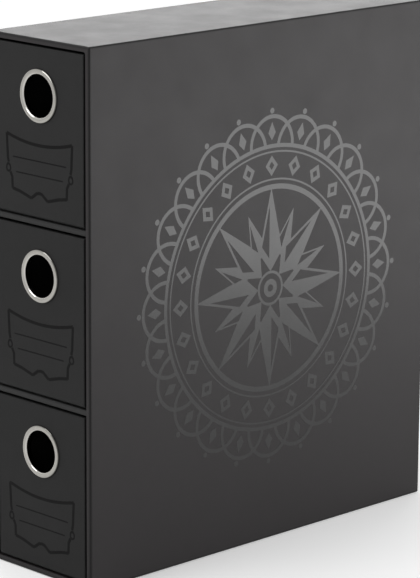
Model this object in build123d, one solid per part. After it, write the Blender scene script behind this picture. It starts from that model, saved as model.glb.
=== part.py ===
from build123d import *
from math import cos, pi, sin, sqrt
import os

# Trading card drawer box: a tall paper-covered board casing with three drawers, one above the
# other, each pulled by a metal finger ring. Millimetres. X runs across the drawers, Y from the
# front to the back, Z up. The origin is on the resting face, at the centre of the casing.

# Casing
case_width = 91.0
case_depth = 303.0
case_height = 340.0
case_board = 3.0  # board of the walls and shelves
paper = 0.25  # covering paper, on the casing and on the drawers
fold_radius = 2.2 * paper  # outside of a fold over a board's square edge
case_edge_radius = 1.0  # outer edges, over the paper
mouth_corner_radius = 1.5  # inner corners of the open front
turn_in = 15.0  # paper turned in over the casing's front edges and the shelves
turn_over = 12.0  # paper turned over onto the back, the base and under the drawers
sheet_inset = 3.0  # base and back papers stop this far inside the casing's edges

# Drawers, from the lowest up
drawer_names = ("lower", "middle", "upper")
side_gap = 1.8  # drawer to casing, each side
top_gap = 1.8  # drawer to the shelf above
seat_gap = 0.3  # drawer to the shelf below
rear_gap = 0.8  # drawer to the back board when it is pushed home
front_board = 3.0
tray_board = 2.0  # sides, back and bottom
toe_radius = 3.2  # lower front edge of a drawer, rounded under

# Finger ring: a pressed eyelet, its barrel clinched over the back of the drawer's front
ring_drop = 29.8  # from the drawer's top edge down to the ring's centre
ring_bore = 26.6
ring_metal = 0.5
rim_width = 3.6  # from the bore out to the rim's foot
rim_height = 1.25  # how far the rim's crest stands out of the drawer's face
rim_bands = 5  # flat bands that the rim is pressed in, from its outer foot to the bore
barrel_clearance = 0.2  # barrel to the hole in the board, on the radius
clinch_lap = 2.2  # how far the barrel's end is turned out over the board
lip_clearance = 3.6  # from the clinch up to the paper turned in over the drawer's top edge

# Casing planes
front_y = -case_depth / 2
back_y = case_depth / 2
cover_back = back_y - paper  # the back paper lies behind the cover
cover_bottom = paper  # the base paper lies under the cover
boards_front = front_y + paper
boards_back = cover_back - paper
boards_bottom = cover_bottom + paper
boards_top = case_height - paper
side_outer = case_width / 2 - paper
side_inner = side_outer - case_board
mouth_half = side_inner - paper
floor_top = boards_bottom + case_board
ceiling = boards_top - case_board
mouth_floor = floor_top + paper
mouth_ceiling = ceiling - paper
back_inner = boards_back - case_board

# Bays
shelf_height = case_board + 2 * paper
shelf_count = len(drawer_names) - 1
bay_height = (mouth_ceiling - mouth_floor - shelf_count * shelf_height) / len(drawer_names)
bay_pitch = bay_height + shelf_height

# Drawer planes, with heights measured from the drawer's own underside
drawer_half = mouth_half - side_gap
drawer_height = bay_height - top_gap - seat_gap
drawer_back = back_inner - rear_gap
panel_front = front_y + paper
panel_back = panel_front + front_board
tray_half = drawer_half - paper - tray_board
tray_back = drawer_back - paper - tray_board
tray_floor = paper + tray_board
tray_top = drawer_height - paper

# Finger ring
ring_height = drawer_height - ring_drop
bore_radius = ring_bore / 2
barrel_radius = bore_radius + ring_metal
hole_radius = barrel_radius + barrel_clearance
clinch_radius = hole_radius + clinch_lap
board_rear = paper + front_board  # behind the drawer's face
rim_lip = ring_drop - clinch_radius - lip_clearance


def slab(x_low, x_high, y_low, y_high, z_low, z_high):
    """A block between two corners."""
    size = (x_high - x_low, y_high - y_low, z_high - z_low)
    centre = ((x_low + x_high) / 2, (y_low + y_high) / 2, (z_low + z_high) / 2)
    return Pos(*centre) * Box(*size)


def frame_of(outer_half, outer_low, outer_high, wall):
    """A rectangular ring in plan: half width, front and back of the outline, and its wall."""
    length = outer_high - outer_low
    outline = Rectangle(2 * outer_half, length) - Rectangle(2 * (outer_half - wall), length - 2 * wall)
    return Pos(0, (outer_low + outer_high) / 2) * outline


def upright_outline(half, low, high, radius):
    """A rounded rectangle seen from the front, with X across and Z up."""
    outline = RectangleRounded(2 * half, high - low, radius)
    return Plane.XZ * Pos(0, (low + high) / 2) * outline


# ---------------------------------------------------------------- casing


def casing_block(inset):
    """A block that lies inside the cover's outer faces by the inset."""
    half = case_width / 2 - inset
    y_span = (front_y + inset, cover_back - inset)
    return slab(-half, half, *y_span, cover_bottom + inset, case_height - inset)


def cover_form():
    """The cover's outer form, with round edges."""
    block = casing_block(0)
    return fillet(block.edges(), case_edge_radius)


def cover_space():
    """The space inside the cover. The boards' edges are eased, so that the paper is as thick there."""
    block = casing_block(paper)
    return chamfer(block.edges(), (2 - sqrt(2)) * (case_edge_radius - paper))


def mouth_prism(y_low, y_high):
    """The open front between the turned-in papers, from y_low to y_high."""
    outline = upright_outline(mouth_half, mouth_floor, mouth_ceiling, mouth_corner_radius)
    return Pos(0, y_low, 0) * extrude(outline, y_high - y_low, dir=(0, 1, 0))


def base_window(z_low, z_high):
    """The part of the base that the turned-over paper leaves bare."""
    reach = case_width / 2 - turn_over
    return slab(-reach, reach, front_y + turn_over, cover_back - turn_over, z_low, z_high)


def back_window(y_low, y_high):
    """The part of the back that the turned-over paper leaves bare."""
    reach = case_width / 2 - turn_over
    return slab(-reach, reach, y_low, y_high, cover_bottom + turn_over, case_height - turn_over)


def case_cover():
    """The covering paper: round the outside, in at the mouth, over onto the base and back."""
    shell = cover_form() - cover_space()
    shell -= mouth_prism(front_y, boards_front)
    shell -= base_window(cover_bottom, boards_bottom)
    shell -= back_window(boards_back, cover_back)
    lining = slab(-side_inner, side_inner, boards_front, front_y + turn_in, floor_top, ceiling)
    return shell + (lining - mouth_prism(boards_front, front_y + turn_in))


def case_boards():
    """The five boards of the casing, trimmed to the space inside the cover."""
    space = cover_space()
    y_span = (boards_front, boards_back)
    blocks = {
        "case_left_board": slab(-side_outer, -side_inner, *y_span, boards_bottom, boards_top),
        "case_right_board": slab(side_inner, side_outer, *y_span, boards_bottom, boards_top),
        "case_top_board": slab(-side_inner, side_inner, *y_span, ceiling, boards_top),
        "case_bottom_board": slab(-side_inner, side_inner, *y_span, boards_bottom, floor_top),
        "case_back_board": slab(-side_inner, side_inner, back_inner, boards_back, floor_top, ceiling),
    }
    return {name: block & space for name, block in blocks.items()}


def shelf_board(bottom):
    """A shelf between the casing's sides."""
    return slab(-mouth_half, mouth_half, boards_front, back_inner, bottom, bottom + case_board)


def shelf_edging(bottom):
    """The paper strip folded over a shelf's front edge."""
    z_span = (bottom - paper, bottom + case_board + paper)
    strip = slab(-mouth_half, mouth_half, front_y, front_y + turn_in, *z_span)
    front_edges = strip.faces().sort_by(Axis.Y)[0].edges().filter_by(Axis.X)
    return fillet(front_edges, fold_radius) - shelf_board(bottom)


def base_paper():
    """The sheet under the casing. It fills the window and laps the turned-over paper."""
    reach = case_width / 2 - sheet_inset
    sheet = slab(-reach, reach, front_y + sheet_inset, cover_back - sheet_inset, 0, cover_bottom)
    return sheet + base_window(cover_bottom, boards_bottom)


def back_paper():
    """The sheet behind the casing. It fills the window and laps the turned-over paper."""
    reach = case_width / 2 - sheet_inset
    z_span = (cover_bottom + sheet_inset, case_height - sheet_inset)
    return slab(-reach, reach, cover_back, back_y, *z_span) + back_window(boards_back, cover_back)


def casing():
    """Every piece of the casing, by name."""
    pieces = case_boards()
    for number, above in enumerate(drawer_names[1:], start=1):
        bottom = mouth_floor + number * bay_pitch - shelf_height + paper
        pieces[f"{above}_shelf"] = shelf_board(bottom)
        pieces[f"{above}_shelf_edging"] = shelf_edging(bottom)
    pieces["case_cover"] = case_cover()
    pieces["base_paper"] = base_paper()
    pieces["back_paper"] = back_paper()
    return pieces


# ---------------------------------------------------------------- drawers


def drawer_block(inset):
    """A block that lies inside a drawer's outer faces by the inset, its lower front edge rounded under."""
    half = drawer_half - inset
    block = slab(-half, half, front_y + inset, drawer_back - inset, inset, drawer_height - inset)
    toe = block.faces().sort_by(Axis.Y)[0].edges().sort_by(Axis.Z)[0]
    return fillet(toe, toe_radius - inset)


def drawer_form():
    """A drawer's outer form: the folds round the front, along the sides and along the rim are soft."""
    block = drawer_block(0)
    toe_seams = block.faces().filter_by(GeomType.CYLINDER).edges().filter_by(Axis.X)
    rear_edges = block.faces().sort_by(Axis.Y)[-1].edges()
    return fillet(block.edges() - toe_seams - rear_edges, fold_radius)


def finger_hole():
    """The round hole through a drawer's front, for the ring's barrel."""
    through = Plane.XZ * Pos(0, ring_height) * Circle(hole_radius)
    return Pos(0, front_y, 0) * extrude(through, panel_back - front_y, dir=(0, 1, 0))


def drawer_cover():
    """The paper round a drawer: turned in over its top edges and turned under its bottom."""
    shell = drawer_form() - drawer_block(paper)
    lining = frame_of(tray_half, panel_back, tray_back, paper)
    opening = make_face(lining.faces()[0].inner_wires()[0])
    shell -= Pos(0, 0, tray_top) * extrude(opening, paper)
    shell += Pos(0, 0, tray_top - rim_lip) * extrude(lining, rim_lip)
    reach = drawer_half - turn_over
    shell -= slab(-reach, reach, front_y + turn_over, drawer_back - turn_over, 0, paper)
    return shell - finger_hole()


def drawer_boards():
    """The front, back, sides and bottom of a drawer, trimmed to the space inside its cover."""
    space = drawer_block(paper)
    outer = drawer_half - paper
    behind = drawer_back - paper
    z_span = (tray_floor, tray_top)
    front = slab(-outer, outer, panel_front, panel_back, paper, tray_top) - finger_hole()
    return {
        "front_board": front & space,
        "bottom_board": slab(-outer, outer, panel_back, behind, paper, tray_floor) & space,
        "left_board": slab(-outer, -tray_half, panel_back, behind, *z_span) & space,
        "right_board": slab(tray_half, outer, panel_back, behind, *z_span) & space,
        "back_board": slab(-tray_half, tray_half, tray_back, behind, *z_span) & space,
    }


def finger_ring():
    """The pressed eyelet: a domed rim, a barrel through the board and an end clinched behind it.

    The section has its radius along X and its depth behind the drawer's face along Y.
    """
    rim_half = rim_width / 2
    crown = rim_height / sin(pi * (rim_bands // 2) / rim_bands)
    turns = [pi * band / rim_bands for band in range(rim_bands + 1)]
    rim = [(bore_radius + rim_half * (1 + cos(turn)), -crown * sin(turn)) for turn in turns]
    tail = [
        (bore_radius, board_rear + ring_metal),
        (clinch_radius, board_rear + ring_metal),
        (clinch_radius, board_rear),
        (barrel_radius, board_rear),
        (barrel_radius, 0),
    ]
    section = make_face(Polyline(*rim, *tail, close=True))
    return Pos(0, front_y, ring_height) * revolve(section, Axis.Y)


def drawer():
    """Every piece of one drawer, by name, standing on Z = 0."""
    pieces = drawer_boards()
    pieces["cover"] = drawer_cover()
    pieces["finger_ring"] = finger_ring()
    return pieces


# ---------------------------------------------------------------- the whole box


def write_parts():
    """One file for each piece."""
    os.makedirs("parts", exist_ok=True)
    for name, piece in casing().items():
        export_step(piece, f"parts/{name}.step")
    drawer_pieces = drawer()
    for number, drawer_name in enumerate(drawer_names):
        seat = mouth_floor + number * bay_pitch + seat_gap
        for name, piece in drawer_pieces.items():
            export_step(Pos(0, 0, seat) * piece, f"parts/{drawer_name}_{name}.step")


write_parts()
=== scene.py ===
import cmath
import math

import bmesh
import bpy
from mathutils import Matrix, Vector
from mathutils.geometry import delaunay_2d_cdt


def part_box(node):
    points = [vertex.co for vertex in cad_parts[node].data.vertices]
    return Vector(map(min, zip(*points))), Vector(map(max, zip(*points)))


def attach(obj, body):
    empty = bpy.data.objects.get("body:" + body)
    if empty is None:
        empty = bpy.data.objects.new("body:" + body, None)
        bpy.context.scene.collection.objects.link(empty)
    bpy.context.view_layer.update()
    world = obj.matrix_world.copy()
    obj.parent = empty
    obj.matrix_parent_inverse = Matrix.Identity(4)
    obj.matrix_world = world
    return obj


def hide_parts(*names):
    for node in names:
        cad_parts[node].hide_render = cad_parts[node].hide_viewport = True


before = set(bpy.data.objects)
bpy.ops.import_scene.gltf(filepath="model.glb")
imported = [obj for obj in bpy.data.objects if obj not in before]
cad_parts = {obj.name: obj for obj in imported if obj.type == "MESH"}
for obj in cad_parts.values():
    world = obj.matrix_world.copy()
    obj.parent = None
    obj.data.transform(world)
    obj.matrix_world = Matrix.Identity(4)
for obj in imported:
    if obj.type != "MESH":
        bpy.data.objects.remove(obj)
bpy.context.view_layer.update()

# Everything is in metres, in the row frame: the drawers face -Y, the ornament is on the +X side, Z is up.
MM = 0.001
DRAWERS = ("lower", "middle", "upper")


def new_object(name, data):
    """An object of the scene with that mesh, lamp or camera."""
    made = bpy.data.objects.new(name, data)
    bpy.context.scene.collection.objects.link(made)
    return made


# ---------------------------------------------------------------- camera
CAMERA_PLACE = Vector((1.36744, -1.34661, 0.62267))
CAMERA_AIM = Vector((0.0455, -0.0500, 0.1762))
CAMERA_ROLL = math.radians(-0.37)
CAMERA_LENS = 189.17
CAMERA_SENSOR = 36.0  # mm, along the picture's longer side


def make_camera():
    """The photograph's viewpoint, with a slight roll."""
    forward = (CAMERA_AIM - CAMERA_PLACE).normalized()
    right = forward.cross(Vector((0, 0, 1))).normalized()
    up = right.cross(forward)
    turned_up = up * math.cos(CAMERA_ROLL) + right * math.sin(CAMERA_ROLL)
    turned_right = forward.cross(turned_up)
    data = bpy.data.cameras.new("camera")
    data.lens = CAMERA_LENS
    data.sensor_width = CAMERA_SENSOR
    camera = new_object("camera", data)
    axes = Matrix((turned_right, turned_up, -forward)).transposed()
    camera.matrix_world = Matrix.Translation(CAMERA_PLACE) @ axes.to_4x4()
    bpy.context.scene.camera = camera


# ---------------------------------------------------------------- node helpers


class Tree:
    """A node tree with short calls: each node() makes one node and fills its sockets."""

    def __init__(self, tree):
        self.tree = tree
        tree.nodes.clear()

    def node(self, kind, **sockets):
        made = self.tree.nodes.new(kind)
        for name, value in sockets.items():
            self.fill(made, name.replace("_", " "), value)
        return made

    def fill(self, made, name, value):
        """Sets the socket of that name or number, or links it when the value is another socket."""
        key = int(name) if name.isdigit() else name
        if isinstance(value, bpy.types.NodeSocket):
            self.tree.links.new(value, made.inputs[key])
        else:
            made.inputs[key].default_value = value

    def math(self, operation, a, b=0.0):
        made = self.tree.nodes.new("ShaderNodeMath")
        made.operation = operation
        self.fill(made, "0", a)
        self.fill(made, "1", b)
        return made.outputs[0]

    def vector(self, operation, a, b=(0.0, 0.0, 0.0)):
        made = self.tree.nodes.new("ShaderNodeVectorMath")
        made.operation = operation
        self.fill(made, "0", a)
        self.fill(made, "1", b)
        return made.outputs[0]

    def length(self, vector):
        made = self.tree.nodes.new("ShaderNodeVectorMath")
        made.operation = "LENGTH"
        self.fill(made, "0", vector)
        return made.outputs["Value"]

    def spread(self, value, low, high, to_low, to_high, smooth=False):
        """Maps low..high to to_low..to_high."""
        made = self.tree.nodes.new("ShaderNodeMapRange")
        made.interpolation_type = "SMOOTHSTEP" if smooth else "LINEAR"
        for name, number in zip(("1", "2", "3", "4"), (low, high, to_low, to_high)):
            self.fill(made, name, number)
        self.fill(made, "0", value)
        return made.outputs[0]

    def noise(self, place, size, detail=3.0, roughness=0.5):
        """Noise whose blobs are about size metres across."""
        made = self.node("ShaderNodeTexNoise", Vector=place, Scale=1.0 / size, Detail=detail)
        made.inputs["Roughness"].default_value = roughness
        return made.outputs["Fac"]

    def mix(self, amount, a, b):
        made = self.tree.nodes.new("ShaderNodeMix")
        made.data_type = "RGBA"
        self.fill(made, "0", amount)
        self.fill(made, "6", a)
        self.fill(made, "7", b)
        return made.outputs[2]

    def mix_shaders(self, amount, a, b):
        made = self.tree.nodes.new("ShaderNodeMixShader")
        for name, value in zip(("0", "1", "2"), (amount, a, b)):
            self.fill(made, name, value)
        return made.outputs[0]

    def bump(self, height, depth, **under):
        """The normal with a pattern of that depth pressed into it, over another Normal if there is one."""
        made = self.node("ShaderNodeBump", Height=height, Distance=depth, Strength=1.0, **under)
        return made.outputs[0]

    def surface(self, colour, rough, normal, plain):
        """The finished surface. plain holds the numbers that are the same all over, by socket."""
        shader = self.node("ShaderNodeBsdfPrincipled", Base_Color=colour, Roughness=rough, Normal=normal)
        for name, value in plain.items():
            shader.inputs[name].default_value = value
        self.node("ShaderNodeOutputMaterial", Surface=shader.outputs[0])


def linear(grey, redness=0.0):
    """A screen grey of 0 to 255 as a linear colour, with a share more red and a third of it more blue."""
    value = ((grey / 255 + 0.055) / 1.055) ** 2.4
    return (value * (1 + redness), value, value * (1 + redness / 3), 1.0)


def new_material(name):
    material = bpy.data.materials.new(name)
    material.use_nodes = True
    return material, Tree(material.node_tree)


def place_of(tree):
    """Where a point of the surface lies, in its own piece's coordinates."""
    return tree.node("ShaderNodeTexCoord").outputs["Object"]


# ---------------------------------------------------------------- stage
WHITE = (1.0, 1.0, 1.0, 1.0)
FLOOR_HALF = 6.0
FLOOR_COLOUR = (0.7, 0.7, 0.7, 1.0)  # for the light that it throws on the box
FLOOR_SEEN_COLOUR = (0.9, 0.9, 0.9, 1.0)  # for the rays that show the background
FLOOR_LIFT_NEAR = 0.2  # what brings the lit floor by the box to white, and keeps the shadow on it
FLOOR_LIFT_FAR = 0.56  # and the floor that the lamps don't reach
FLOOR_RISE = (0.45, 1.3)  # how far out the lift starts and stops rising
WORLD_LEVEL = 0.5  # the plain light from all round, where 1 is white
SOFT_BOXES = {  # place, aim, width, height and level of each
    "back_box": ((-0.95, 1.00, 0.60), (0.0, 0.0, 0.30), 1.4, 0.7, 2.4),
    "side_box": ((0.52, 0.48, 0.19), (0.045, 0.0, 0.19), 0.9, 0.36, 3.1),
    "key_box": ((-0.15, -0.65, 0.85), (0.0, -0.15, 0.25), 0.55, 0.55, 5.2),
}


def background_rays(tree):
    """1 for the rays that show the background: the camera's, and those off metal or through glass."""
    rays = tree.node("ShaderNodeLightPath").outputs
    mirrored = tree.math("MAXIMUM", rays["Is Glossy Ray"], rays["Is Transmission Ray"])
    return tree.math("MAXIMUM", rays["Is Camera Ray"], mirrored)


def make_floor():
    """A plain pale floor, white where it is lit and greyer in the object's shadow."""
    mesh = bpy.data.meshes.new("floor")
    corners = [(x, y, 0.0) for x, y in ((-1, -1), (1, -1), (1, 1), (-1, 1))]
    mesh.from_pydata([(x * FLOOR_HALF, y * FLOOR_HALF, z) for x, y, z in corners], [], [(0, 1, 2, 3)])
    floor = new_object("floor", mesh)
    material, tree = new_material("floor")
    plain = tree.node("ShaderNodeBsdfDiffuse", Color=FLOOR_COLOUR)
    lifted = tree.node("ShaderNodeBsdfDiffuse", Color=FLOOR_SEEN_COLOUR)
    away = tree.length(place_of(tree))
    lift = tree.spread(away, *FLOOR_RISE, FLOOR_LIFT_NEAR, FLOOR_LIFT_FAR, smooth=True)
    glow = tree.node("ShaderNodeEmission", Strength=lift)
    seen = tree.node("ShaderNodeAddShader", **{"0": lifted.outputs[0], "1": glow.outputs[0]})
    both = tree.mix_shaders(background_rays(tree), plain.outputs[0], seen.outputs[0])
    tree.node("ShaderNodeOutputMaterial", Surface=both)
    mesh.materials.append(material)


def make_world():
    """Plain light from all round, before a white background."""
    world = bpy.data.worlds.new("studio")
    bpy.context.scene.world = world
    world.use_nodes = True
    tree = Tree(world.node_tree)
    around = tree.node("ShaderNodeBackground", Color=WHITE, Strength=WORLD_LEVEL)
    white = tree.node("ShaderNodeBackground", Color=WHITE, Strength=1.0)
    both = tree.mix_shaders(background_rays(tree), around.outputs[0], white.outputs[0])
    tree.node("ShaderNodeOutputWorld", Surface=both)


def soft_light(name, place, aim, width, height, level):
    """A rectangular soft box. Its level is its own brightness, where 1 is white."""
    data = bpy.data.lights.new(name, "AREA")
    data.shape = "RECTANGLE"
    data.size, data.size_y = width, height
    data.energy = level * math.pi * width * height
    light = new_object(name, data)
    light.location = place
    light.rotation_euler = (Vector(aim) - Vector(place)).to_track_quat("-Z", "Y").to_euler()
    light.visible_camera = False


# ---------------------------------------------------------------- materials
# Greys are on the screen's scale of 255. The steps from a material's own grey to its shades, flecks and
# rubbed spots are on it too. Levels are the two values of a noise between which its pattern comes in.

COVER_REDNESS = 0.14  # the casing's paper and the print on it lean slightly to red

# Paper
FIBRE_SIZE, FIBRE_DEPTH, FIBRE_LEVELS = 0.35 * MM, 0.02 * MM, (0.35, 0.8)
MOTTLE_SIZE, CLOUD_SIZE = 9 * MM, 70 * MM
HANDLING_SIZE, HANDLING_DEPTH, HANDLING_LEVELS = 28 * MM, 0.03 * MM, (0.3, 0.75)
PAPER_SHADES, FLECK_STEP, FLECK_SHARE = (-4, 5), 14, 0.6
UNEVEN_ROUGHNESS = 0.035  # how far handling shifts the roughness, either way
# painted shade: the grey that the paper is darkened to along its edges
EDGE_SHADE_GREY = 6
EDGE_SHADE_REACH = 1.5 * MM  # how far from an edge the painted shade along it ends
RUB_REACH = (0.25 * MM, 1.7 * MM)  # how far from an edge the rubbed band starts to fade, and ends
RUB_SIZE, RUB_LEVELS = 3 * MM, (0.45, 0.75)  # the patches that break up the rubbed band
RUB_STEP, RUB_POLISH = 42, 0.12  # how much paler, and how much less rough, a wholly rubbed spot is
# Each look's fourth number is how strongly the painted shade along its edges comes in, from 0 to 1
COVER_PAPER = {
    "grey": 29, "roughness": 0.46, "specular": 0.2, "edge_shade": 0.9, "wear": 0.05,
    "redness": COVER_REDNESS, "reach": 2.2 * MM,
}
EDGING_PAPER = {"grey": 32, "roughness": 0.5, "specular": 0.2, "edge_shade": 0.5, "wear": 0.1}
SHEET_PAPER = {"grey": 42, "roughness": 0.62, "specular": 0.3, "edge_shade": 0.0, "wear": 0.2, "coarseness": 1.5}
DRAWER_PAPER = {"grey": 32, "roughness": 0.55, "specular": 0.1, "edge_shade": 0.15, "wear": 0.125}

# Board
CASE_BOARD_GREY, DRAWER_BOARD_GREY = 36, 34
BOARD_STREAK = (1.0, 0.18, 1.0)  # draws its fibres out along Y
BOARD_FIBRE_SIZE, BOARD_FIBRE_DEPTH, BOARD_FLECK_LEVELS = 0.7 * MM, 0.05 * MM, (0.5, 0.8)
BLOTCH_SIZE = 14 * MM
BOARD_SHADES, BOARD_FLECK_STEP, BOARD_FLECK_SHARE = (-4, 6), 22, 0.7
BOARD_REDNESS, BOARD_FLECK_REDNESS = 0.01, 0.02
BOARD_ROUGH_LEVELS, BOARD_ROUGHNESS = (0.2, 0.8), (0.72, 0.86)

# Nickel. The bands are measured in from the ring's outer edge.
NICKEL = (0.36, 0.35, 0.325, 1.0)
PAINTED_HIGHLIGHT_METAL = (0.62, 0.61, 0.58, 1.0)  # painted highlight: brighter metal towards the hole, for the bright line round the bore
PAINTED_SHADE_METAL = (0.035, 0.034, 0.032, 1.0)  # painted shade: near-black metal at the foot of the crown, where the rim meets the paper
HIGHLIGHT_BAND, HIGHLIGHT_SHARE = (3.3 * MM, 2.4 * MM), 0.5
SHADE_BAND, SHADE_SHARE = (0.8 * MM, 0.25 * MM), 0.95
MARK_SIZE, MARK_DEPTH = 0.12 * MM, 0.0008 * MM
MARK_TURN = 0.4 * MM  # how far the marks' noise moves on for each radian round the ring
SPOT_SIZE, SPOT_LEVELS, SPOT_SHARE, SPOT_DULLNESS = 2.5 * MM, (0.35, 0.8), 0.5, 0.8
NICKEL_ROUGH_LEVELS, NICKEL_ROUGHNESS = (0.3, 0.7), (0.10, 0.18)

# Print
PEEL_SIZE, PEEL_DEPTH = 1.3 * MM, 0.006 * MM
THIN_SIZE, THIN_LEVELS, THIN_ROUGHNESS = 12 * MM, (0.3, 0.7), (-0.02, 0.03)
PRINT_SHADES = (-3, 4)
PINHOLE_SIZE, PINHOLE_LEVELS, PINHOLE_ROUGHNESS = 0.5 * MM, (0.70, 0.76), 0.25
ORNAMENT_PRINT = {"grey": 12, "roughness": 0.2, "specular": 0.46, "redness": COVER_REDNESS}
LABEL_PRINT = {"grey": 10, "roughness": 0.34, "specular": 0.06}


def edge_distance(tree, place, low, high):
    """How far a point of a box's surface is from the nearest edge, in metres."""
    centre = [(a + b) / 2 for a, b in zip(low, high)]
    half = [(b - a) / 2 for a, b in zip(low, high)]
    away = tree.vector("ABSOLUTE", tree.vector("SUBTRACT", place, centre))
    gaps = tree.node("ShaderNodeSeparateXYZ", Vector=tree.vector("SUBTRACT", half, away))
    x, y, z = gaps.outputs
    lesser, greater = tree.math("MINIMUM", x, y), tree.math("MAXIMUM", x, y)
    return tree.math("MAXIMUM", lesser, tree.math("MINIMUM", greater, z))


def paper(
    name, box, grey, roughness, specular, edge_shade, wear, redness=0.0, reach=EDGE_SHADE_REACH, coarseness=1.0
):
    """Black paper: mottled, with a fine fibre, with painted shade along its edges, and rubbed pale here and
    there.
    """
    material, tree = new_material(name)
    place = place_of(tree)
    fine = tree.noise(place, FIBRE_SIZE * coarseness, detail=4.0, roughness=0.6)
    mottle = tree.noise(place, MOTTLE_SIZE, detail=3.0)
    cloud = tree.noise(place, CLOUD_SIZE, detail=2.0)
    handled = tree.noise(place, HANDLING_SIZE, detail=5.0, roughness=0.65)

    low, high = box
    edge = edge_distance(tree, place, low, high)
    worn = tree.spread(edge, *RUB_REACH, 1.0, 0.0, smooth=True)
    patches = tree.noise(place, RUB_SIZE, detail=5.0, roughness=0.7)
    broken = tree.spread(patches, *RUB_LEVELS, 0.0, 1.0, smooth=True)
    rub = tree.math("MULTIPLY", tree.math("MULTIPLY", worn, broken), wear)

    shade = tree.math("ADD", tree.math("MULTIPLY", mottle, 0.5), tree.math("MULTIPLY", cloud, 0.5))
    ground = tree.mix(shade, *(linear(grey + step, redness) for step in PAPER_SHADES))
    flecks = tree.spread(fine, *FIBRE_LEVELS, 0.0, FLECK_SHARE)
    flecked = tree.mix(flecks, ground, linear(grey + FLECK_STEP, redness))
    # painted shade: the paper darkened towards every edge of its box
    painted_shade_amount = tree.spread(edge, reach / 3, reach, edge_shade, 0.0, smooth=True)
    edge_shaded = tree.mix(painted_shade_amount, flecked, linear(EDGE_SHADE_GREY, redness))
    colour = tree.mix(rub, edge_shaded, linear(grey + RUB_STEP, redness))

    uneven = (roughness - UNEVEN_ROUGHNESS, roughness + UNEVEN_ROUGHNESS)
    rough = tree.spread(handled, *HANDLING_LEVELS, *uneven)
    smoothed = tree.math("SUBTRACT", rough, tree.math("MULTIPLY", rub, RUB_POLISH))
    grain = tree.bump(fine, FIBRE_DEPTH * coarseness)
    wave = tree.bump(handled, HANDLING_DEPTH, Normal=grain)
    tree.surface(colour, smoothed, wave, {"Specular IOR Level": specular})
    return material


def board(name, grey):
    """Black solid board: dull and fibrous, with its fibres along Y."""
    material, tree = new_material(name)
    place = place_of(tree)
    stretched = tree.vector("MULTIPLY", place, BOARD_STREAK)
    fibres = tree.noise(stretched, BOARD_FIBRE_SIZE, detail=6.0, roughness=0.7)
    blotch = tree.noise(place, BLOTCH_SIZE, detail=3.0)
    ground = tree.mix(blotch, *(linear(grey + step, BOARD_REDNESS) for step in BOARD_SHADES))
    flecks = tree.spread(fibres, *BOARD_FLECK_LEVELS, 0.0, BOARD_FLECK_SHARE)
    colour = tree.mix(flecks, ground, linear(grey + BOARD_FLECK_STEP, BOARD_FLECK_REDNESS))
    rough = tree.spread(fibres, *BOARD_ROUGH_LEVELS, *BOARD_ROUGHNESS)
    tree.surface(colour, rough, tree.bump(fibres, BOARD_FIBRE_DEPTH), {})
    return material


def turned_metal(name, low, high):
    """A plated ring with fine marks that run round the middle of its box, which faces the front."""
    material, tree = new_material(name)
    centre = (low + high) / 2
    offset = tree.node("ShaderNodeSeparateXYZ", Vector=tree.vector("SUBTRACT", place_of(tree), centre))
    x, y, z = offset.outputs
    radius = tree.math("SQRT", tree.math("ADD", tree.math("MULTIPLY", x, x), tree.math("MULTIPLY", z, z)))
    angle = tree.math("ARCTAN2", z, x)
    round_marks = tree.node("ShaderNodeCombineXYZ", X=radius, Y=y, Z=tree.math("MULTIPLY", angle, MARK_TURN))
    lines = tree.noise(round_marks.outputs[0], MARK_SIZE, detail=5.0, roughness=0.65)
    spots = tree.noise(place_of(tree), SPOT_SIZE, detail=4.0, roughness=0.6)
    dull = [channel * SPOT_DULLNESS for channel in NICKEL[:3]] + [1.0]
    tint = tree.mix(tree.spread(spots, *SPOT_LEVELS, 0.0, SPOT_SHARE), NICKEL, dull)
    outer = (high.x - low.x) / 2
    # painted highlight: the metal made brighter in a band towards the hole, and mixed into the tint below
    painted_highlight = tree.spread(radius, *(outer - inward for inward in HIGHLIGHT_BAND), HIGHLIGHT_SHARE, 0.0, smooth=True)
    handled = tree.mix(painted_highlight, tint, PAINTED_HIGHLIGHT_METAL)
    # painted shade: the metal darkened to near black towards its outer edge
    foot_shade = tree.spread(radius, *(outer - inward for inward in SHADE_BAND), 0.0, SHADE_SHARE, smooth=True)
    foot_shaded = tree.mix(foot_shade, handled, PAINTED_SHADE_METAL)
    rough = tree.spread(spots, *NICKEL_ROUGH_LEVELS, *NICKEL_ROUGHNESS)
    tree.surface(foot_shaded, rough, tree.bump(lines, MARK_DEPTH), {"Metallic": 1.0})
    return material


def varnish(name, grey, roughness, specular, redness=0.0):
    """A printed gloss: smooth, with a faint orange peel and a few pinholes."""
    material, tree = new_material(name)
    place = place_of(tree)
    peel = tree.noise(place, PEEL_SIZE, detail=3.0)
    thin = tree.noise(place, THIN_SIZE, detail=3.0)
    pinholes = tree.spread(tree.noise(place, PINHOLE_SIZE, detail=2.0), *PINHOLE_LEVELS, 0.0, 1.0)
    colour = tree.mix(thin, *(linear(grey + step, redness) for step in PRINT_SHADES))
    rough = tree.spread(thin, *THIN_LEVELS, *(roughness + shift for shift in THIN_ROUGHNESS))
    rougher = tree.math("ADD", rough, tree.math("MULTIPLY", pinholes, PINHOLE_ROUGHNESS))
    tree.surface(colour, rougher, tree.bump(peel, PEEL_DEPTH), {"Specular IOR Level": specular})
    return material


def dress(node, material):
    """Gives a CAD node its finished material."""
    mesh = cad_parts[node].data
    mesh.materials.clear()
    mesh.materials.append(material)


# ---------------------------------------------------------------- flat prints
# Outlines are lists of complex numbers in millimetres: the real part runs across and the imaginary part up.


def counter_clockwise(outline):
    """The outline, turned round if it runs clockwise."""
    area = sum((a.conjugate() * b).imag for a, b in zip(outline, outline[1:] + outline[:1]))
    return outline if area > 0 else outline[::-1]


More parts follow.
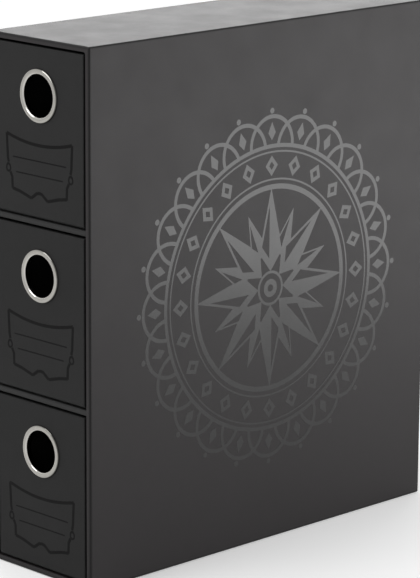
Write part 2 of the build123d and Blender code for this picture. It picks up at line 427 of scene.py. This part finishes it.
def ribbon(path, width):
    """The outline of a line of one width drawn along path."""
    left, right = [], []
    for i, point in enumerate(path):
        ahead = path[min(i + 1, len(path) - 1)]
        behind = path[max(i - 1, 0)]
        side = 1j * (ahead - behind) / abs(ahead - behind) * width / 2
        left.append(point + side)
        right.append(point - side)
    return left + right[::-1]


def circle(centre, radius, count=40):
    return [centre + radius * cmath.exp(2j * math.pi * i / count) for i in range(count)]


def steps(count):
    """Even steps from 0 to 1, with both ends."""
    return [i / (count - 1) for i in range(count)]


def union_mesh(name, shapes, cuts, thickness, to_space):
    """A thin solid over the union of the shapes less the cuts. to_space places a flat point at a height."""
    near = 1e-6  # mm, under which two points are one
    outlines = [counter_clockwise(outline) for outline in shapes + cuts]
    points, faces = [], []
    for outline in outlines:
        faces.append(list(range(len(points), len(points) + len(outline))))
        points += [Vector((z.real, z.imag)) for z in outline]
    found, _, triangles, _, _, sources = delaunay_2d_cdt(points, [], faces, 0, near)
    kept = [
        triangle
        for triangle, source in zip(triangles, sources)
        if source and max(source) < len(shapes)
    ]
    used = sorted({corner for triangle in kept for corner in triangle})
    order = {corner: i for i, corner in enumerate(used)}
    top = [[order[corner] for corner in triangle] for triangle in kept]
    return thin_solid(name, [found[corner] for corner in used], top, thickness, to_space)


def thin_solid(name, flat, top, thickness, to_space):
    """Raises flat triangles to a closed sheet of the given thickness."""
    count = len(flat)
    vertices = [to_space(p.x * MM, p.y * MM, thickness) for p in flat]
    vertices += [to_space(p.x * MM, p.y * MM, 0.0) for p in flat]
    edges = {(t[i], t[(i + 1) % 3]) for t in top for i in range(3)}
    rim = [(a, b) for a, b in edges if (b, a) not in edges]
    faces = list(top)
    faces += [[corner + count for corner in reversed(t)] for t in top]
    faces += [[b, a, a + count, b + count] for a, b in sorted(rim)]
    mesh = bpy.data.meshes.new(name)
    mesh.from_pydata(vertices, [], faces)
    mesh.validate()
    return new_object(name, mesh)


# ---------------------------------------------------------------- side ornament
PRINT_THICKNESS = 0.05 * MM

# The rest is in mm. A kite is given by its foot, its shoulder, half its width and its tip.
ORNAMENT_CENTRE = (4.0, 168.0)  # along the side and up it
HUB_RADIUS, HUB_HOLE = 6.0, 2.4
ORNAMENT_RINGS = ((10.5, 1.8), (66.0, 3.4), (70.8, 1.2), (88.6, 1.2), (92.4, 2.6))  # radius and width
STAR_POINTS = 8
LONG_POINT = (11, 24, 10.5, 66)
SHORT_POINT = (22, 31, 6.5, 54)  # one between each two long ones
POINT_OPENING = 0.62  # the opening's size, as a share of the open half
LOZENGES = 24
LOZENGE = (73.0, 79.7, 5.6, 86.4)
LOZENGE_OPENING = 0.4
ARCHES = 24
ARCH_FOOT = 93.0  # how far the arches' own centres lie from the middle
ARCH_RADIUS = 18.5
ARCH_WIDTH = 2.6
ARCH_TURN = math.radians(97)  # how far each arch runs, either way from its top
ARCH_DROP = (96, 101, 3.4, 108)
BEAD_RADIUS = 1.9
BEAD_GAP = 3.6  # from the arch's line out to the bead's centre


def all_round(outlines, count, start=0.0):
    """Copies of the outlines at even turns about the middle, from a share of one turn on."""
    turns = [cmath.exp(2j * math.pi * (i + start) / count) for i in range(count)]
    return [[z * turn for z in outline] for turn in turns for outline in outlines]


def arc_band(centre, radius, width, turn_from, turn_to, count=33):
    """An arc of one width about a centre."""
    turns = [turn_from + (turn_to - turn_from) * t for t in steps(count)]
    return ribbon([centre + radius * cmath.exp(1j * turn) for turn in turns], width)


def ring_band(radius, width):
    """A circular line about the middle, as two halves."""
    return [arc_band(0, radius, width, start, start + math.pi, 91) for start in (0, math.pi)]


def shrunk(outline, share):
    """The outline drawn in towards its own middle."""
    middle = sum(outline) / len(outline)
    return [middle + (z - middle) * share for z in outline]


def kite(foot, shoulder, half_width, tip):
    """A kite along the real axis, from its foot to its tip."""
    return [complex(foot), shoulder - 1j * half_width, complex(tip), shoulder + 1j * half_width]


def star(foot, shoulder, half_width, tip, start=0.0):
    """The points of a compass star, solid on one side and open on the other: shapes and cuts."""
    point = kite(foot, shoulder, half_width, tip)
    opening = shrunk([point[0], point[2], point[3]], POINT_OPENING)
    return all_round([point], STAR_POINTS, start), all_round([opening], STAR_POINTS, start)


def ornament_outlines():
    """A compass star in a ring of lozenges and interlaced arches: shapes and cuts."""
    shapes, cuts = [circle(0, HUB_RADIUS)], [circle(0, HUB_HOLE, 24)]
    for radius, width in ORNAMENT_RINGS:
        shapes += ring_band(radius, width)
    for points, openings in (star(*LONG_POINT), star(*SHORT_POINT, start=0.5)):
        shapes += points
        cuts += openings
    lozenge = kite(*LOZENGE)
    shapes += all_round([lozenge], LOZENGES)
    cuts += all_round([shrunk(lozenge, LOZENGE_OPENING)], LOZENGES)
    arch = arc_band(ARCH_FOOT, ARCH_RADIUS, ARCH_WIDTH, -ARCH_TURN, ARCH_TURN)
    bead = circle(ARCH_FOOT + ARCH_RADIUS + BEAD_GAP, BEAD_RADIUS, 20)
    shapes += all_round([arch, kite(*ARCH_DROP), bead], ARCHES)
    return shapes, cuts


def make_ornament(material):
    """The gloss ornament on the casing's right side."""
    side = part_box("case_cover")[1].x

    def to_space(across, up, height):
        return (side + height, across + ORNAMENT_CENTRE[0] * MM, up + ORNAMENT_CENTRE[1] * MM)

    shapes, cuts = ornament_outlines()
    piece = union_mesh("side_ornament", shapes, cuts, PRINT_THICKNESS, to_space)
    piece.data.materials.append(material)
    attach(piece, "casing")


# ---------------------------------------------------------------- label frames
# The right half of a frame, in mm from the ring's centre.
LABEL_LINE, LABEL_RULE = 2.0, 0.8  # widths of the frame's line and of the rules in it
TOP_HALF, TOP_MIDDLE, TOP_RISE = 30, -30.6, 4.2  # the top line sags from its corners to the middle
LABEL_SIDE = [30 - 26.4j, 29.2 - 41.5j, 28.4 - 44.5j]
LABEL_NECK = [26.9 - 50.4j, 25.2 - 53.5j, 24.9 - 60.6j]
LABEL_FOOT = [24.9 - 60.3j, 18 - 61.4j, 12 - 63.0j, 7.4 - 64.2j]
LABEL_ARCH = [7.4 - 64.2j, 4.6 - 62.2j, 2.4 - 60.7j, 0 - 60.2j]
LABEL_RULES = ((40.5, 24.4), (49.7, 21.4))  # how far down each rule is, and half its length
DROP_CENTRE = 28.6 - 48.2j
DROP_HALF_WIDTH, DROP_HALF_HEIGHT = 2.4, 3.0
DROP_SKEW = 0.12  # both ends lie higher than an oval's by this share of half its height
DROP_OPENING = 0.52


def label_half():
    """The right half of a label frame: shapes and cuts."""
    across = [TOP_HALF * t for t in steps(16)]
    top = [complex(x, TOP_MIDDLE + TOP_RISE * (x / TOP_HALF) ** 2) for x in across]
    lines = (top, LABEL_SIDE, LABEL_NECK, LABEL_FOOT, LABEL_ARCH)
    shapes = [ribbon(line, LABEL_LINE) for line in lines]
    drop = []
    for turn in [2 * math.pi * t for t in steps(33)[:-1]]:
        height = DROP_HALF_HEIGHT * math.cos(turn) * (1 + DROP_SKEW * math.cos(turn))
        drop.append(DROP_CENTRE + complex(DROP_HALF_WIDTH * math.sin(turn), height))
    shapes.append(drop)
    cuts = [[DROP_CENTRE + (z - DROP_CENTRE) * DROP_OPENING for z in drop]]
    for down, half_length in LABEL_RULES:
        shapes.append(ribbon([complex(0, -down), complex(half_length, -down)], LABEL_RULE))
    return shapes, cuts


def both_halves(outlines):
    """The outlines and then their mirror images in the middle."""
    return outlines + [[-z.conjugate() for z in outline] for outline in outlines]


def make_label(drawer, material):
    """The printed frame for a label, under the ring of one drawer."""
    low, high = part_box(f"{drawer}_finger_ring")
    ring_z = (low.z + high.z) / 2
    face_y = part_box(f"{drawer}_cover")[0].y

    def to_space(across, up, height):
        return (across, face_y - height, ring_z + up)

    shapes, cuts = (both_halves(outlines) for outlines in label_half())
    piece = union_mesh(f"{drawer}_label_frame", shapes, cuts, PRINT_THICKNESS, to_space)
    piece.data.materials.append(material)
    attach(piece, f"{drawer}_drawer")


# ---------------------------------------------------------------- finger rings
RING_METAL = 0.5  # mm, as are the sizes below
RING_RIM = 3.6  # from the bore to the outer edge
RING_LAP = 0.7  # how far the clinched lip ends short of the outer edge
RING_CURL = 0.8  # radius of the turn from the barrel into the lip
CROWN_FULLNESS = 0.85  # a power: 1 makes the crown half an oval, and less makes it fuller
RING_STEPS = 160  # round the ring


def ring_section(outer, rise, reach):
    """The pressed ring's section: each point's radius, and how far it stands out of the face."""
    half_metal = RING_METAL / 2
    barrel = outer - RING_RIM + half_metal
    crown_half = (outer - half_metal - barrel) / 2
    crown = []
    for turn in [math.pi * t for t in steps(25)]:
        height = (rise - half_metal) * math.sin(turn) ** CROWN_FULLNESS
        crown.append(complex(barrel + crown_half * (1 + math.cos(turn)), height))
    lip = half_metal - reach
    wall = [complex(barrel, (lip + RING_CURL) * t) for t in steps(5)[1:]]
    curl_centre = complex(barrel + RING_CURL, lip + RING_CURL)
    curl = [curl_centre - RING_CURL * cmath.exp(0.5j * math.pi * t) for t in steps(8)[1:]]
    return ribbon(crown + wall + curl + [complex(outer - RING_LAP, lip)], RING_METAL)


def make_ring(drawer):
    """The nickel ring round a finger hole, turned to a smooth crown in place of the banded solid."""
    low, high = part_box(f"{drawer}_finger_ring")
    face_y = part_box(f"{drawer}_cover")[0].y
    middle_x, middle_z = (low.x + high.x) / 2, (low.z + high.z) / 2
    outer = (high.x - low.x) / 2
    section = ring_section(outer / MM, (face_y - low.y) / MM, (high.y - face_y) / MM)
    vertices, faces = [], []
    for i in range(RING_STEPS):
        turn = 2 * math.pi * i / RING_STEPS
        across, up = math.cos(turn), math.sin(turn)
        for point in section:
            radius = point.real * MM
            vertices.append((middle_x + radius * across, face_y - point.imag * MM, middle_z + radius * up))
    count = len(section)
    for i in range(RING_STEPS):
        here, there = i * count, (i + 1) % RING_STEPS * count
        for j in range(count):
            k = (j + 1) % count
            faces.append((here + j, here + k, there + k, there + j))
    mesh = bpy.data.meshes.new(f"{drawer}_ring")
    mesh.from_pydata(vertices, [], faces)
    shell = bmesh.new()
    shell.from_mesh(mesh)
    bmesh.ops.recalc_face_normals(shell, faces=shell.faces)
    shell.to_mesh(mesh)
    shell.free()
    mesh.polygons.foreach_set("use_smooth", [True] * len(mesh.polygons))
    piece = new_object(f"{drawer}_ring", mesh)
    piece.data.materials.append(turned_metal(f"{drawer}_nickel", low, high))
    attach(piece, f"{drawer}_drawer")
    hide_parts(f"{drawer}_finger_ring")


# ---------------------------------------------------------------- the whole


def dress_paper(node, name, look):
    dress(node, paper(name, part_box(node), **look))


def dress_casing():
    dress_paper("case_cover", "cover_paper", COVER_PAPER)
    for shelf in ("middle", "upper"):
        dress_paper(f"{shelf}_shelf_edging", f"{shelf}_edging_paper", EDGING_PAPER)
        dress(f"{shelf}_shelf", board(f"{shelf}_shelf_board", CASE_BOARD_GREY))
    for sheet in ("base_paper", "back_paper"):
        dress_paper(sheet, sheet, SHEET_PAPER)
    for side in ("left", "right", "top", "bottom", "back"):
        node = f"case_{side}_board"
        dress(node, board(node, CASE_BOARD_GREY))


def dress_drawer(drawer, label_print):
    dress_paper(f"{drawer}_cover", f"{drawer}_paper", DRAWER_PAPER)
    for part in ("front", "back", "left", "right", "bottom"):
        node = f"{drawer}_{part}_board"
        dress(node, board(node, DRAWER_BOARD_GREY))
    make_ring(drawer)
    make_label(drawer, label_print)


make_camera()
make_floor()
make_world()
for name, soft_box in SOFT_BOXES.items():
    soft_light(name, *soft_box)
dress_casing()
make_ornament(varnish("gloss_ornament", **ORNAMENT_PRINT))
label_print = varnish("label_print", **LABEL_PRINT)
for drawer in DRAWERS:
    dress_drawer(drawer, label_print)

bpy.context.scene.view_settings.view_transform = "Standard"
